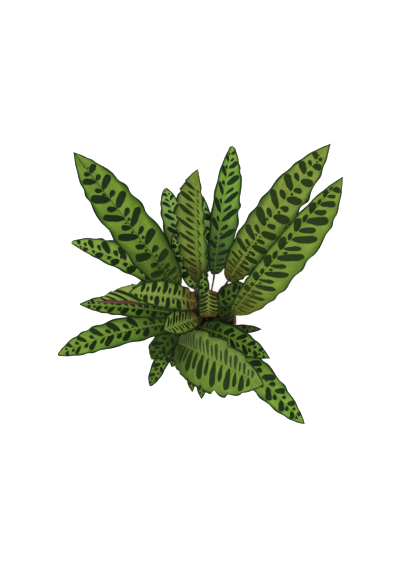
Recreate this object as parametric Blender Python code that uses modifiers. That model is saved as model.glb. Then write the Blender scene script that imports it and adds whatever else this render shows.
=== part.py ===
"""A potted calathea: a nursery pot, its soil, and a rosette of long leaves, each a blade on a stalk.

Metres, +Z up. The origin is the centre of the pot's underside, on the surface that it stands on.
"""

import math

import bmesh
import bpy
from mathutils import Vector

GAP = 0.0003  # clear space between two pieces that touch

# Pot: a thin moulded shell, tapered, with a stepped rim band and drain holes in a flat base.
RIM_DIAMETER = 0.120
BASE_DIAMETER = 0.084
POT_HEIGHT = 0.108
WALL = 0.0018
BAND_HEIGHT = 0.018
BAND_STEP = 0.0026
LIP_WIDTH = 0.0028
FOOT_RADIUS = 0.003
DRAIN_HOLES = 8
DRAIN_DIAMETER = 0.008
DRAIN_CIRCLE = 0.052
POT_STEPS = 48

# Soil: fills the pot to a little under its rim.
SOIL_BELOW_RIM = 0.011
SOIL_TOP = POT_HEIGHT - SOIL_BELOW_RIM

# Stalks and blades.
STALK_RADIUS = 0.0015
STALK_POINTS = 8
BLADE_THICKNESS = 0.0008
NARROWEST = 0.0010  # half width of a blade where it meets its stalk, and at its tip
ROWS_ACROSS = 4
ROW_LENGTH = 0.022
END_ROWS = 0.4  # how much closer together the rows of a blade are at both ends

# Each leaf: foot is where its stalk leaves the soil, and neck where its blade starts. From the neck
# the blade runs towards heading (degrees from +X, turning to +Y), climbing at rise degrees, and by
# its tip it has arched down by arch degrees and swung round by swing. roll lifts its left side, at
# the neck and at the tip, fold lifts both sides from the midrib, and lean is the share of its width
# that lies left of the midrib, at the neck and at the tip. belly is where the blade is widest, as a
# share of its length, a larger tip keeps it broad for longer, and a smaller close rounds its end.
PLAIN = dict(swing=0, roll=(0, 0), fold=8, lean=(0.5, 0.5), belly=0.42, tip=2.8, close=1)
OLIVE_BLADES = ("back", "back_right", "left", "folded_left", "short_front_left", "upright")
LEAVES = {
    "back_left": dict(
        foot=(-0.013, 0.010), neck=(-0.047, 0.035, 0.1985), heading=131.5, rise=41, arch=30,
        swing=-2.5, length=0.298, width=0.0745, lean=(0.5, 0.49), tip=3.2),
    "low_back_left": dict(
        foot=(-0.021, 0.014), neck=(-0.068, 0.060, 0.165), heading=158, rise=28, arch=30, swing=5,
        length=0.187, width=0.048, lean=(0.46, 0.34), belly=0.3, tip=2.7, close=0.8),
    "slim_back_left": dict(
        foot=(-0.012, 0.022), neck=(-0.022, 0.067, 0.1485), heading=106, rise=41, arch=25, swing=4,
        length=0.177, width=0.047, lean=(0.58, 0.58), tip=2.8, close=0.65),
    "short_back_left": dict(
        foot=(-0.006, 0.016), neck=(-0.015, 0.042, 0.180), heading=120, rise=30, arch=20, swing=-10,
        length=0.108, width=0.032),
    "back": dict(
        foot=(-0.004, 0.008), neck=(-0.009, 0.041, 0.215), heading=98, rise=52, arch=25, swing=-13,
        length=0.206, width=0.056, roll=(-30, -20), fold=22, lean=(0.45, 0.74), tip=3.4, close=0.9),
    "hidden_back": dict(
        foot=(0.000, 0.024), neck=(0.004, 0.075, 0.170), heading=93, rise=42, arch=20, length=0.140,
        width=0.030),
    "slim_back": dict(
        foot=(0.007, 0.026), neck=(0.017, 0.066, 0.190), heading=84, rise=52, arch=30, swing=-5,
        length=0.233, width=0.049, roll=(20, 10), fold=12, lean=(0.385, 0.385), tip=3.2, close=0.85),
    "back_right": dict(
        foot=(0.010, 0.020), neck=(0.041, 0.051, 0.200), heading=52, rise=43, arch=30, swing=-4,
        length=0.295, width=0.068, fold=10, lean=(0.49, 0.5), tip=3.0),
    "right": dict(
        foot=(0.018, 0.001), neck=(0.047, -0.009, 0.205), heading=47, rise=43, arch=30, swing=2,
        length=0.300, width=0.0735, roll=(38, 30), fold=22, lean=(0.37, 0.37), tip=3.2),
    "short_right": dict(
        foot=(0.017, 0.006), neck=(0.023, 0.024, 0.150), heading=24, rise=33, arch=30, length=0.067,
        width=0.042, tip=3.2),
    "low_right": dict(
        foot=(0.020, 0.008), neck=(0.026, 0.020, 0.125), heading=-39, rise=0, arch=30, length=0.037,
        width=0.030),
    "tiny_right": dict(
        foot=(0.020, -0.008), neck=(0.032, -0.024, 0.135), heading=2, rise=10, arch=30,
        length=0.074, width=0.017),
    "front_right": dict(
        foot=(0.001, -0.012), neck=(-0.0065, -0.0225, 0.150), heading=-23.5, rise=34, arch=46,
        swing=-6, length=0.141, width=0.046, lean=(0.52, 0.44), belly=0.36),
    "front": dict(
        foot=(-0.010, -0.016), neck=(-0.046, -0.058, 0.190), heading=-40, rise=68, arch=62,
        swing=13, length=0.210, width=0.090, roll=(24, 30), fold=10, lean=(0.43, 0.43), belly=0.53),
    "long_right": dict(
        foot=(0.011, -0.014), neck=(0.018, -0.032, 0.150), heading=-47.5, rise=22, arch=50, swing=4,
        length=0.233, width=0.053, lean=(0.56, 0.4), belly=0.34, tip=2.6, close=0.8),
    "left": dict(
        foot=(-0.006, -0.001), neck=(-0.014, 0.005, 0.230), heading=-171, rise=64, arch=25,
        length=0.168, width=0.049, lean=(0.49, 0.49), tip=3.4),
    "folded_left": dict(
        foot=(-0.014, 0.003), neck=(-0.050, 0.0055, 0.2005), heading=-178, rise=30, arch=20,
        length=0.141, width=0.078, roll=(34, 69), fold=26, lean=(0.37, 0.41), tip=3.0),
    "spotted_left": dict(
        foot=(-0.021, -0.001), neck=(-0.050, 0.000, 0.163), heading=176, rise=27, arch=30, swing=2,
        length=0.175, width=0.038, lean=(0.46, 0.46), tip=3.4),
    "long_left": dict(
        foot=(-0.016, -0.007), neck=(-0.052, -0.014, 0.150), heading=-172, rise=17, arch=40,
        swing=14, length=0.226, width=0.0495, lean=(0.51, 0.51), tip=2.9, close=0.85),
    "short_front_left": dict(
        foot=(-0.009, -0.008), neck=(-0.0122, -0.0243, 0.2385), heading=-147, rise=58, arch=20,
        length=0.094, width=0.045, lean=(0.38, 0.5), belly=0.5, tip=3.0),
    "upright": dict(
        foot=(0.004, 0.002), neck=(0.0055, -0.019, 0.230), heading=92, rise=102, arch=48,
        length=0.100, width=0.034, tip=5.0, close=0.55),
    "small_low_left": dict(
        foot=(-0.025, -0.009), neck=(-0.050, -0.0275, 0.147), heading=-132, rise=12, arch=40,
        length=0.071, width=0.040, lean=(0.47, 0.4), tip=3.4),
    "narrow_low_left": dict(
        foot=(-0.019, -0.021), neck=(-0.059, -0.052, 0.135), heading=-119, rise=6, arch=40,
        length=0.087, width=0.026, lean=(0.43, 0.43), tip=3.4),
    "tiny_low_left": dict(
        foot=(-0.013, -0.024), neck=(-0.038, -0.044, 0.120), heading=-118, rise=2, arch=40,
        length=0.053, width=0.026),
    "low_front_left": dict(
        foot=(-0.006, -0.025), neck=(-0.030, -0.060, 0.130), heading=-84, rise=2, arch=40,
        length=0.080, width=0.020),
    "low_front": dict(
        foot=(0.001, -0.026), neck=(-0.004, -0.058, 0.120), heading=-91, rise=4, arch=40,
        length=0.093, width=0.026),
    "short_back": dict(
        foot=(0.002, 0.009), neck=(-0.0015, 0.012, 0.190), heading=92, rise=68, arch=20,
        length=0.079, width=0.021),
}


def clear_scene():
    for obj in list(bpy.data.objects):
        bpy.data.objects.remove(obj, do_unlink=True)


def make_collection(name, helper=False):
    collection = bpy.data.collections.new(name)
    collection.hide_render = helper
    bpy.context.scene.collection.children.link(collection)
    return collection


def make_material(name, colour, roughness):
    material = bpy.data.materials.new(name)
    material.use_nodes = True
    shader = material.node_tree.nodes["Principled BSDF"]
    shader.inputs["Base Color"].default_value = (*colour, 1)
    shader.inputs["Roughness"].default_value = roughness
    shader.inputs["Metallic"].default_value = 0
    material.diffuse_color = (*colour, 1)
    return material


def add_object(name, data, collection, material=None):
    obj = bpy.data.objects.new(name, data)
    if material:
        data.materials.append(material)
    collection.objects.link(obj)
    return obj


def turned(name, profile, collection, material):
    """A profile of (radius, height) turned about Z. Its outer side runs from top to bottom."""
    mesh = bpy.data.meshes.new(name)
    count = len(profile)
    edges = [(i, i + 1) for i in range(count - 1)]
    mesh.from_pydata([(radius, 0, height) for radius, height in profile], edges, [])
    obj = add_object(name, mesh, collection, material)
    screw = obj.modifiers.new("Turn", "SCREW")
    screw.steps = screw.render_steps = POT_STEPS
    screw.use_merge_vertices = True
    screw.merge_threshold = 0.00001
    screw.use_smooth_shade = True
    return obj


def wall_radius(height):
    """Outside radius of the pot's tapered wall, under its rim band."""
    top = RIM_DIAMETER / 2 - BAND_STEP
    base = BASE_DIAMETER / 2
    return base + (top - base) * height / POT_HEIGHT


def pot(collection, cutters, material):
    rim = RIM_DIAMETER / 2
    band_bottom = POT_HEIGHT - BAND_HEIGHT
    inner_top = wall_radius(POT_HEIGHT) - WALL
    profile = [
        (0, WALL),
        (wall_radius(WALL) - WALL - FOOT_RADIUS, WALL),
        (wall_radius(WALL + FOOT_RADIUS) - WALL, WALL + FOOT_RADIUS),
        (inner_top, POT_HEIGHT - LIP_WIDTH),
        (inner_top, POT_HEIGHT - LIP_WIDTH / 4),
        (inner_top + LIP_WIDTH / 4, POT_HEIGHT),
        (rim - LIP_WIDTH / 4, POT_HEIGHT),
        (rim, POT_HEIGHT - LIP_WIDTH / 4),
        (rim - LIP_WIDTH / 4, band_bottom),
        (wall_radius(band_bottom), band_bottom - BAND_STEP / 2),
        (wall_radius(FOOT_RADIUS), FOOT_RADIUS),
        (wall_radius(0) - FOOT_RADIUS / 3, FOOT_RADIUS / 3),
        (wall_radius(0) - FOOT_RADIUS, 0),
        (0, 0),
    ]
    obj = turned("pot", profile, collection, material)
    for i in range(DRAIN_HOLES):
        cut_drain_hole(obj, i, 2 * math.pi * i / DRAIN_HOLES, cutters)
    return obj


def cut_drain_hole(obj, number, angle, cutters):
    bm = bmesh.new()
    bmesh.ops.create_cone(
        bm, cap_ends=True, segments=12, radius1=DRAIN_DIAMETER / 2,
        radius2=DRAIN_DIAMETER / 2, depth=4 * WALL)
    mesh = bpy.data.meshes.new(f"drain_cutter_{number}")
    bm.to_mesh(mesh)
    bm.free()
    cutter = add_object(mesh.name, mesh, cutters)
    radius = DRAIN_CIRCLE / 2
    cutter.location = (radius * math.cos(angle), radius * math.sin(angle), WALL / 2)
    cutter.hide_render = True
    cutter.display_type = "WIRE"
    cut = obj.modifiers.new(f"Drain hole {number}", "BOOLEAN")
    cut.operation = "DIFFERENCE"
    cut.object = cutter


def soil(collection, material):
    bottom = WALL + GAP
    side = WALL + GAP
    corner = FOOT_RADIUS
    profile = [
        (0, SOIL_TOP),
        (wall_radius(SOIL_TOP) - side - corner, SOIL_TOP),
        (wall_radius(SOIL_TOP - corner / 2) - side, SOIL_TOP - corner / 2),
        (wall_radius(bottom + corner) - side, bottom + corner),
        (wall_radius(bottom) - side - corner, bottom),
        (0, bottom),
    ]
    return turned("soil", profile, collection, material)


def heading_frame(leaf, along):
    """Unit vectors forward, left and up of the blade, at this share of its length, before roll."""
    climb = math.radians(leaf["rise"] - leaf["arch"] * along)
    turn = math.radians(leaf["heading"] + leaf["swing"] * along)
    flat = math.cos(climb)
    forward = Vector((flat * math.cos(turn), flat * math.sin(turn), math.sin(climb)))
    left = Vector((-math.sin(turn), math.cos(turn), 0))
    return forward, left, forward.cross(left)


def half_width(leaf, along):
    """Half the blade's width: a round shoulder up to its belly, then a long taper."""
    belly = leaf["belly"]
    if along < belly:
        share = math.sqrt(max(0, 1 - (1 - along / belly) ** 2.3))
    else:
        share = (1 - ((along - belly) / (1 - belly)) ** leaf["tip"]) ** leaf["close"]
    return max(leaf["width"] / 2 * share, NARROWEST)


def between(pair, along):
    return pair[0] + (pair[1] - pair[0]) * along


def blade_stations(leaf, rows):
    """For each row, neck to tip: the midrib's point, the left and up directions, and both widths."""
    stations = []
    point = Vector(leaf["neck"])
    last = 0
    for row in range(rows + 1):
        along = row / rows
        along -= END_ROWS * math.sin(2 * math.pi * along) / (2 * math.pi)
        forward, _, _ = heading_frame(leaf, (last + along) / 2)
        point += forward * leaf["length"] * (along - last)
        last = along
        _, left, up = heading_frame(leaf, along)
        roll = math.radians(between(leaf["roll"], along))
        side = left * math.cos(roll) + up * math.sin(roll)
        out = up * math.cos(roll) - left * math.sin(roll)
        full = 2 * half_width(leaf, along)
        lean = between(leaf["lean"], along)
        stations.append((point.copy(), side, out, full * lean, full * (1 - lean)))
    return stations


def blade(name, leaf, collection, material):
    """A grid laid along the midrib, folded a little about it, and given its thickness."""
    rows = max(6, round(leaf["length"] / ROW_LENGTH))
    stations = blade_stations(leaf, rows)
    fold = math.radians(leaf["fold"])
    bm = bmesh.new()
    bmesh.ops.create_grid(bm, x_segments=rows, y_segments=ROWS_ACROSS, size=0.5)
    for vertex in bm.verts:
        point, side, out, left_half, right_half = stations[round((vertex.co.x + 0.5) * rows)]
        across = 2 * vertex.co.y
        reach = across * (left_half if across > 0 else right_half)
        vertex.co = point + side * reach * math.cos(fold) + out * abs(reach) * math.sin(fold)
    mesh = bpy.data.meshes.new("blade_" + name)
    bm.to_mesh(mesh)
    bm.free()
    mesh.shade_smooth()
    obj = add_object("blade_" + name, mesh, collection, material)
    thickness = obj.modifiers.new("Thickness", "SOLIDIFY")
    thickness.thickness = BLADE_THICKNESS
    thickness.offset = 0
    return obj


def stalk_path(leaf):
    """Up out of the soil, then over into the blade's own direction at its neck."""
    foot = Vector((*leaf["foot"], SOIL_TOP + GAP))
    forward, _, _ = heading_frame(leaf, 0)
    end = Vector(leaf["neck"]) - forward * 2 * GAP
    reach = (end - foot).length
    first = foot + Vector((0, 0, 0.40 * reach))
    second = end - forward * 0.22 * reach
    path = []
    for i in range(STALK_POINTS):
        t = i / (STALK_POINTS - 1)
        path.append(
            foot * (1 - t) ** 3 + first * 3 * t * (1 - t) ** 2
            + second * 3 * t * t * (1 - t) + end * t ** 3)
    return path


def stalk(name, leaf, collection, material):
    curve = bpy.data.curves.new("stalk_" + name, "CURVE")
    curve.dimensions = "3D"
    curve.bevel_depth = STALK_RADIUS
    curve.bevel_resolution = 2
    curve.use_fill_caps = True
    path = stalk_path(leaf)
    spline = curve.splines.new("POLY")
    spline.points.add(len(path) - 1)
    for spot, point in zip(spline.points, path):
        spot.co = (*point, 1)
    return add_object("stalk_" + name, curve, collection, material)


def main():
    clear_scene()
    plant = make_collection("potted_calathea")
    cutters = make_collection("cutters", helper=True)
    terracotta = make_material("terracotta_plastic", (0.45, 0.11, 0.05), 0.55)
    earth = make_material("potting_soil", (0.035, 0.022, 0.015), 0.95)
    green = make_material("leaf_green", (0.16, 0.33, 0.03), 0.45)
    olive = make_material("leaf_olive", (0.24, 0.28, 0.04), 0.45)
    stem = make_material("dark_stalk", (0.05, 0.02, 0.02), 0.50)
    pot(plant, cutters, terracotta)
    soil(plant, earth)
    for name, own in LEAVES.items():
        leaf = {**PLAIN, **own}
        blade(name, leaf, plant, olive if name in OLIVE_BLADES else green)
        stalk(name, leaf, plant, stem)


main()
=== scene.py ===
import math
import random
from types import SimpleNamespace

import bmesh
import bpy
from mathutils import Matrix, Vector, noise


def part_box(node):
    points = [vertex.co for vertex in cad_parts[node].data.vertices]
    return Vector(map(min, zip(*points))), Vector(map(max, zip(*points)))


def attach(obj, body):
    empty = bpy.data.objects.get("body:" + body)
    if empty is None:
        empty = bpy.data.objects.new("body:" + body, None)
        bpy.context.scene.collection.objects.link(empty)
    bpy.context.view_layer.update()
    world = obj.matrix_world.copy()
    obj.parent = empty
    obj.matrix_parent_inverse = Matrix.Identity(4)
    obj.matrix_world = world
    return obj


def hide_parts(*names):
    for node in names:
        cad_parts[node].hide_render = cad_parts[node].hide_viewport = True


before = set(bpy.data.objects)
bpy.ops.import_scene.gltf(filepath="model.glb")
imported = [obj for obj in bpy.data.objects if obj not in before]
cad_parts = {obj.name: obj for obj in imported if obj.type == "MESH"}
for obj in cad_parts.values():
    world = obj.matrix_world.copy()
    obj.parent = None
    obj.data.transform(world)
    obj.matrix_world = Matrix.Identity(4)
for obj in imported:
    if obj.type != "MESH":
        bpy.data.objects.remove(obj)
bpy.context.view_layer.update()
scene = bpy.context.scene


def addObject(name, data):
    added = bpy.data.objects.new(name, data)
    scene.collection.objects.link(added)
    return added


def addMesh(name, bm, materials=()):
    mesh = bpy.data.meshes.new(name)
    bm.to_mesh(mesh)
    bm.free()
    for material in materials:
        mesh.materials.append(material)
    return addObject(name, mesh)


def addPiece(name, bm, materials, stands):
    # a finished mesh, riding on the one body and standing for its CAD nodes
    piece = addMesh(name, bm, materials)
    piece.data.shade_smooth()
    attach(piece, "root")
    if stands:
        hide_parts(*stands)
    return piece


def feed(tree, socket, value):
    # a link if value is another node's output, and a plain setting if it isn't
    if isinstance(value, bpy.types.NodeSocket):
        tree.links.new(value, socket)
    else:
        if socket.type == "RGBA" and len(value) == 3:
            value = (*value, 1)
        socket.default_value = value


def feedNamed(tree, node, inputs):
    for label, value in inputs.items():
        feed(tree, node.inputs[label.replace("_", " ")], value)


def addNode(tree, kind, output=0, settings=None, **inputs):
    node = tree.nodes.new("ShaderNode" + kind)
    for key, value in (settings or {}).items():
        setattr(node, key, value)
    feedNamed(tree, node, inputs)
    return node.outputs[output]


def splitVector(tree, vector):
    node = tree.nodes.new("ShaderNodeSeparateXYZ")
    feed(tree, node.inputs[0], vector)
    return node.outputs


def maths(tree, operation, *values):
    node = tree.nodes.new("ShaderNodeMath")
    node.operation = operation
    for socket, value in zip(node.inputs, values):
        feed(tree, socket, value)
    return node.outputs[0]


def times(tree, first, second):
    return maths(tree, "MULTIPLY", first, second)


def timesPlus(tree, first, second, third):
    return maths(tree, "MULTIPLY_ADD", first, second, third)


def ramp(tree, value, start, end, low=0.0, high=1.0):
    # goes smoothly from low at start to high at end; start may be above end, and a band in the
    # dictionaries below is such a start and end, with their low and high if they aren't 0 and 1
    node = tree.nodes.new("ShaderNodeMapRange")
    node.interpolation_type = "SMOOTHSTEP"
    if isinstance(start, float) and isinstance(end, float) and start > end:
        start, end, low, high = end, start, high, low
    for socket, each in zip(node.inputs, (value, start, end, low, high)):
        feed(tree, socket, each)
    return node.outputs[0]


def blendColours(tree, share, first, second, mode="MIX"):
    node = tree.nodes.new("ShaderNodeMix")
    node.data_type = "RGBA"
    node.blend_type = mode
    feed(tree, node.inputs["Factor"], share)
    feed(tree, node.inputs[6], first)
    feed(tree, node.inputs[7], second)
    return node.outputs[2]


def noiseAt(tree, vector, scale, detail=2.0, rough=0.5, output="Fac"):
    return addNode(tree, "TexNoise", output, Vector=vector, Scale=scale, Detail=detail, Roughness=rough)


def attribute(tree, name, output="Vector"):
    return addNode(tree, "Attribute", output, {"attribute_name": name})


def newGroup(name, inputs, outputs):
    # a shared effect: inputs and outputs list the labels of each kind of socket
    group = bpy.data.node_groups.new(name, "ShaderNodeTree")
    for direction, sockets in (("INPUT", inputs), ("OUTPUT", outputs)):
        for kind, labels in sockets.items():
            for label in labels:
                group.interface.new_socket(label, in_out=direction, socket_type="NodeSocket" + kind)
    return group, group.nodes.new("NodeGroupInput").outputs, group.nodes.new("NodeGroupOutput").inputs


def useGroup(tree, group, **inputs):
    node = tree.nodes.new("ShaderNodeGroup")
    node.node_tree = group
    feedNamed(tree, node, inputs)
    return node.outputs


def newMaterial(name):
    material = bpy.data.materials.new(name)
    material.use_nodes = True
    tree = material.node_tree
    return material, tree, tree.nodes["Principled BSDF"].inputs


def layered(tree, colour, *layers):
    # each layer is how much of it shows, its colour and, if it isn't MIX, how it blends
    for share, tint, *mode in layers:
        colour = blendColours(tree, share, colour, tint, *mode)
    return colour


def newFinish(name, makeLook, rule):
    # makeLook returns the colour, the roughness and the height of the bumps
    material, tree, shader = newMaterial(name)
    colour, roughness, height = makeLook(tree, rule)
    feed(tree, shader["Base Color"], colour)
    feed(tree, shader["Roughness"], roughness)
    feed(tree, shader["Normal"], addNode(tree, "Bump", 0, Height=height, **rule["bump"]))
    shader["Specular IOR Level"].default_value = rule["shine"]
    return material


studio = dict(
    lens=43.76, sensor=36, cameraPlace=(-0.0084, -0.2721, 1.3779), cameraTilt=15,
    skyStrength=0.86, keyStrength=2.15, keyAngle=50, keyTilt=(24, -20),
    floorColour=(0.93, 0.93, 0.92), floorGlow=0.42, floorRoughness=0.9, floorShine=0.1, floorSize=3.0)


def setCamera():
    camera = addObject("camera", bpy.data.cameras.new("camera"))
    camera.data.lens = studio["lens"]
    camera.data.sensor_width = studio["sensor"]
    camera.location = studio["cameraPlace"]
    camera.rotation_euler = (math.radians(studio["cameraTilt"]), 0, 0)
    scene.camera = camera


def setLight():
    world = bpy.data.worlds.new("paleRoom")
    world.use_nodes = True
    sky = world.node_tree.nodes["Background"].inputs
    sky["Color"].default_value = (1, 1, 1, 1)
    sky["Strength"].default_value = studio["skyStrength"]
    scene.world = world
    scene.view_settings.view_transform = "Standard"
    lamp = bpy.data.lights.new("softKey", "SUN")
    lamp.energy = studio["keyStrength"]
    lamp.angle = math.radians(studio["keyAngle"])
    key = addObject("softKey", lamp)
    key.rotation_euler = [math.radians(a) for a in (*studio["keyTilt"], 0)]


def layFloor():
    bm = bmesh.new()
    bmesh.ops.create_grid(bm, x_segments=1, y_segments=1, size=studio["floorSize"])
    material, _, shader = newMaterial("paleFloor")
    shader["Base Color"].default_value = (*studio["floorColour"], 1)
    shader["Emission Color"].default_value = (1, 1, 1, 1)
    shader["Emission Strength"].default_value = studio["floorGlow"]
    shader["Roughness"].default_value = studio["floorRoughness"]
    shader["Specular IOR Level"].default_value = studio["floorShine"]
    addMesh("floor", bm, [material])


setCamera()
setLight()
layFloor()
print("studio set")


def sidedLabels(*labels):
    # a blade's left and right halves each have these inputs
    return [f"{side} {label}" for label in labels for side in ("Left", "Right")]


def sidedValues(**pairs):
    # the same inputs, filled from a leaf's (left, right) pairs
    return {f"{side}_{label}": value for label, pair in pairs.items()
            for side, value in zip(("Left", "Right"), pair)}


def pickSide(group, given, isLeft, label):
    # the left half's value where isLeft is 1, and the right half's where it is 0
    left, right = given["Left " + label], given["Right " + label]
    return timesPlus(group, isLeft, maths(group, "SUBTRACT", left, right), right)


# Lengths across the blade are shares of its half width, and lengths along it are shares of the
# step from one large mark to the next. reach is how far out the marks of a kind end, and half is
# half their thickness.
markRule = dict(
    neckBand=(0.26, 0.06), neckWidth=0.86, neckReach=0.20, sideSeed=17.3,
    warpStretch=(1.7, 3.1), warpScale=1.3, warpAlong=0.10, warpAcross=0.05,
    largeReach=(0.72, 0.07), largeHalf=0.250, smallReach=0.46, smallNear=0.02, smallHalf=0.172,
    dotNear=0.04, dotReach=0.21, dotHalf=0.075, spotReach=0.15, spotHalf=0.050,
    thickness=(0.24, 0.88), leastHalf=0.01, roundness=2.1, softEdge=(1.13, 0.90),
    dotBand=(0.30, 0.75, 1.0, 1.7), spotRarer=0.5,
    stemBeat=0.25, stemBand=(0.045, 0.015, 0.0, 0.6), stemReach=(0.16, 0.12), veinsPerStep=6)
# Each kind's place in its step, the seed of its luck, how far its ends shift by luck, how square
# they are, and how much it widens outward.
ovals = dict(
    large=dict(offset=0.0, seedStep=1.0, jitter=0.08),
    small=dict(offset=0.5, seedStep=2.0, jitter=0.07, blunt=2.2, widening=0.20),
    dot=dict(offset=-0.27, seedStep=3.0, jitter=0.05, blunt=2.0, widening=0.2),
    spot=dict(offset=0.26, seedStep=4.0, jitter=0.05, blunt=2.0, widening=0.0))


def makeMarksGroup():
    # dark marks beside the midrib: in each step a large one and a small one, with dots between
    rule = markRule
    group, given, out = newGroup(
        "featherMarks",
        {"Vector": ["Place", "Slant"],
         "Float": ["Seed", "Last", *sidedLabels("Lead", "Rate", "Length", "Width", "Small"),
                   "Taper", "Blunt", "Small Width", "Near", "Dots", "Neck Short"]},
        {"Float": ["Marks", "Veins"]})
    phase, across, along = splitVector(group, given["Place"])
    skew, stretch, _ = splitVector(group, given["Slant"])
    isLeft = maths(group, "GREATER_THAN", across, 0.0)
    share = maths(group, "ABSOLUTE", across)
    lead = pickSide(group, given, isLeft, "Lead")
    rate = pickSide(group, given, isLeft, "Rate")
    skew = maths(group, "DIVIDE", skew, rate)
    atNeck = ramp(group, along, *rule["neckBand"])
    long = times(group, pickSide(group, given, isLeft, "Length"), maths(
        group, "SUBTRACT", 1.0, times(group, atNeck, given["Neck Short"])))
    smallLong = pickSide(group, given, isLeft, "Small")
    broad = times(group, pickSide(group, given, isLeft, "Width"), stretch)
    broad = times(group, broad, ramp(group, atNeck, 0.0, 1.0, 1.0, rule["neckWidth"]))
    phase = times(group, phase, rate)
    # a slow warp, so that no two marks are spaced alike
    sideSeed = timesPlus(group, isLeft, rule["sideSeed"], given["Seed"])
    warpAt = addNode(group, "CombineXYZ", 0, X=times(group, phase, rule["warpStretch"][0]),
                     Y=times(group, across, rule["warpStretch"][1]), Z=sideSeed)
    centred = group.nodes.new("ShaderNodeVectorMath")
    centred.operation = "SUBTRACT"
    feed(group, centred.inputs[0], noiseAt(group, warpAt, rule["warpScale"], 1.0, output="Color"))
    centred.inputs[1].default_value = (0.5, 0.5, 0.5)
    warp = splitVector(group, centred.outputs[0])
    at = timesPlus(group, warp[0], rule["warpAlong"], maths(group, "ADD", phase, lead))
    share = timesPlus(group, warp[1], rule["warpAcross"], share)
    last = timesPlus(group, given["Last"], rate, lead)

    def oval(inner, outer, half, offset, seedStep, jitter, blunt, widening):
        # one oval in each step: how dark it is here, and its luck, from 0 to 1
        moved = maths(group, "ADD", at, offset)
        cell = maths(group, "ROUND", moved)
        fromMiddle = maths(group, "SUBTRACT", moved, cell)
        chance = splitVector(group, addNode(
            group, "TexWhiteNoise", "Color", {"noise_dimensions": "3D"},
            Vector=addNode(group, "CombineXYZ", 0, X=cell, Y=sideSeed, Z=seedStep)))
        near = timesPlus(group, chance[0], jitter * 0.5, inner)
        far = timesPlus(group, chance[1], -jitter, outer)
        middle = times(group, maths(group, "ADD", near, far), 0.5)
        reach = times(group, maths(group, "SUBTRACT", far, near), 0.5)
        u = maths(group, "DIVIDE", maths(group, "SUBTRACT", share, middle), reach)
        thick = times(group, half, timesPlus(group, chance[2], *rule["thickness"]))
        thick = times(group, thick, timesPlus(group, u, widening, 1.0))
        thick = maths(group, "MAXIMUM", thick, rule["leastHalf"])
        v = maths(group, "DIVIDE", fromMiddle, thick)
        # square the two axes up, so that an oval on a slanting vein stays an oval
        u = timesPlus(group, maths(group, "DIVIDE", fromMiddle, reach), skew, u)
        apart = maths(
            group, "ADD", maths(group, "POWER", maths(group, "ABSOLUTE", v), rule["roundness"]),
            maths(group, "POWER", maths(group, "ABSOLUTE", u), blunt))
        # none starts so near the tip that it would run off the blade
        kept = maths(group, "LESS_THAN", maths(group, "SUBTRACT", cell, offset), last)
        return times(group, ramp(group, apart, *rule["softEdge"]), kept), chance[2]

    near = given["Near"]
    large, _ = oval(
        near, timesPlus(group, long, *rule["largeReach"]), times(group, broad, rule["largeHalf"]),
        **ovals["large"], blunt=given["Blunt"], widening=given["Taper"])
    smallReach = timesPlus(group, atNeck, rule["neckReach"], times(group, smallLong, rule["smallReach"]))
    smallBroad = times(group, broad, given["Small Width"])
    small, _ = oval(
        maths(group, "ADD", near, rule["smallNear"]), smallReach,
        times(group, smallBroad, rule["smallHalf"]), **ovals["small"])
    dotReach = timesPlus(group, atNeck, rule["neckReach"], rule["dotReach"])
    dot, dotLuck = oval(rule["dotNear"], dotReach, rule["dotHalf"], **ovals["dot"])
    spotReach = timesPlus(group, atNeck, rule["neckReach"], rule["spotReach"])
    spot, spotLuck = oval(rule["dotNear"], spotReach, rule["spotHalf"], **ovals["spot"])
    # dots are kept where their luck is above this: common near the neck, and rare near the tip
    rare = maths(group, "SUBTRACT", ramp(group, along, *rule["dotBand"]), given["Dots"])
    dot = times(group, dot, maths(group, "GREATER_THAN", dotLuck, rare))
    spot = times(group, spot, maths(
        group, "GREATER_THAN", spotLuck, maths(group, "ADD", rare, rule["spotRarer"])))
    marks = maths(group, "MAXIMUM", maths(group, "MAXIMUM", large, small), maths(group, "MAXIMUM", dot, spot))
    # a short dark vein joins each large or small mark to the midrib
    beat = maths(group, "PINGPONG", at, rule["stemBeat"])
    stem = times(group, ramp(group, beat, *rule["stemBand"]), ramp(group, share, *rule["stemReach"]))
    feed(group, out["Marks"], maths(group, "MAXIMUM", marks, stem))
    feed(group, out["Veins"], maths(group, "SINE", times(group, at, 2 * math.pi * rule["veinsPerStep"])))
    return group


# Tints multiply what is under them. ribBand is in metres from the midrib, and lineBand and
# lineRagged from the margin; the other bands are shares of the half width or of the length.
# edgeTint and edgeBand give the margins painted shade, footBand and footShow the foot its brown and painted
# shade, and bloom is a painted sheen
paintRule = dict(
    cloudStretch=0.9, cloudScale=2.2, grainScale=38.0, cloudTint=(0.66, 0.75, 0.74),
    cloudBand=(0.3, 0.7, 0.0, 0.85), edgeTint=(0.15, 0.32, 0.26), edgeBand=(0.20, 0.75, 0.66, 0.86),
    edgeCloud=-0.40, bronzeBand=(0.05, 0.50, 0.45, 1.0), veinTint=(0.55, 0.7, 0.5), veinShow=0.06,
    footBand=(1.0, 0.25), footShow=0.75, footOnMarks=0.3, markShow=0.98, bloom=(0.130, 0.150, 0.065),
    ribBand=(0.0011, 0.0005), line=(0.009, 0.022, 0.007), lineBand=(0.0046, 0.0024, 0.0, 0.90),
    lineRagged=0.0007, grainTint=(0.8, 0.84, 0.8), grainShow=0.22,
    gloss=0.46, glossCloud=0.16, glossMarks=-0.05, veinHeight=0.5, grainHeight=0.35)


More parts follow.
